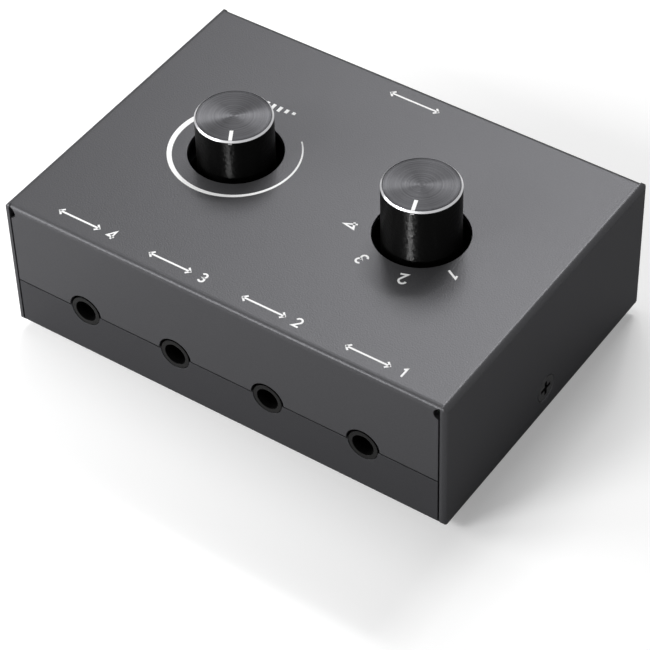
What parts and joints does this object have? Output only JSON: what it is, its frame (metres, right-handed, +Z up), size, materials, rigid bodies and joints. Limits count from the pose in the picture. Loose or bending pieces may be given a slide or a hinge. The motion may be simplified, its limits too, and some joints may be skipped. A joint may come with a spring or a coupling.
{
  "type": "audio source selector",
  "caption": "Small sheet-metal audio switch box with a row of input sockets, one output socket, a volume knob and a source selector knob.",
  "frame": {"origin": "on the table plane, under the middle of the case", "axes": "+X to the right along the four-socket side, +Y to the single-socket side, +Z up"},
  "size_m": [0.084, 0.06, 0.0383],
  "materials": {
    "case_paint": "fine-grained charcoal powder coat",
    "black_screw": "black oxide",
    "plated_steel": "bright zinc plate",
    "brass": "plain stamped brass",
    "rubber": "matte black",
    "board": "green solder mask",
    "socket_plastic": "satin black moulding",
    "control_plastic": "matte black moulding",
    "base_plastic": "brown phenolic",
    "carbon_track": "matte carbon",
    "nylon": "natural white",
    "core_plastic": "matte black",
    "anodised_aluminium": "black anodised, bright cut bevel",
    "pointer_white": "white fill"
  },
  "bodies": {
    "case": {"top_cover": "case_paint", "bottom_tray": "case_paint", "cover_screws": "black_screw", "cover_nuts": "plated_steel", "rubber_feet": "rubber", "board_standoffs": "brass", "board_screws": "plated_steel", "circuit_board": "board", "jack_housing_1": "socket_plastic", "jack_housing_2": "socket_plastic", "jack_housing_3": "socket_plastic", "jack_housing_4": "socket_plastic", "jack_housing_main": "socket_plastic", "jack_contacts_1": "brass", "jack_contacts_2": "brass", "jack_contacts_3": "brass", "jack_contacts_4": "brass", "jack_contacts_main": "brass", "volume_pot_case": "control_plastic", "volume_pot_bushing": "plated_steel", "volume_pot_base": "base_plastic", "volume_pot_track": "carbon_track", "volume_pot_terminals": "brass", "switch_case": "control_plastic", "switch_bushing": "plated_steel", "switch_base": "base_plastic", "switch_contacts": "brass"},
    "volume_control": {"volume_wiper": "brass", "volume_rotor": "nylon", "volume_shaft": "plated_steel", "volume_clip": "plated_steel", "volume_knob_core": "core_plastic", "volume_knob_shell": "anodised_aluminium", "volume_pointer": "pointer_white"},
    "source_selector": {"selector_bridge": "brass", "selector_rotor": "nylon", "selector_ball": "plated_steel", "selector_spring": "plated_steel", "selector_shaft": "plated_steel", "selector_clip": "plated_steel", "selector_knob_core": "core_plastic", "selector_knob_shell": "anodised_aluminium", "selector_pointer": "pointer_white"}
  },
  "joints": [
    {"name": "volume_turn", "type": "hinge", "parent": "case", "child": "volume_control", "pos_m": [-0.018, 0.0005, 0.02], "axis": [0, 0, 1], "range_deg": [-170, 110]},
    {"name": "selector_turn", "type": "hinge", "parent": "case", "child": "source_selector", "pos_m": [0.018, 0.0005, 0.02], "axis": [0, 0, 1], "range_deg": [-80, 40]}
  ]
}
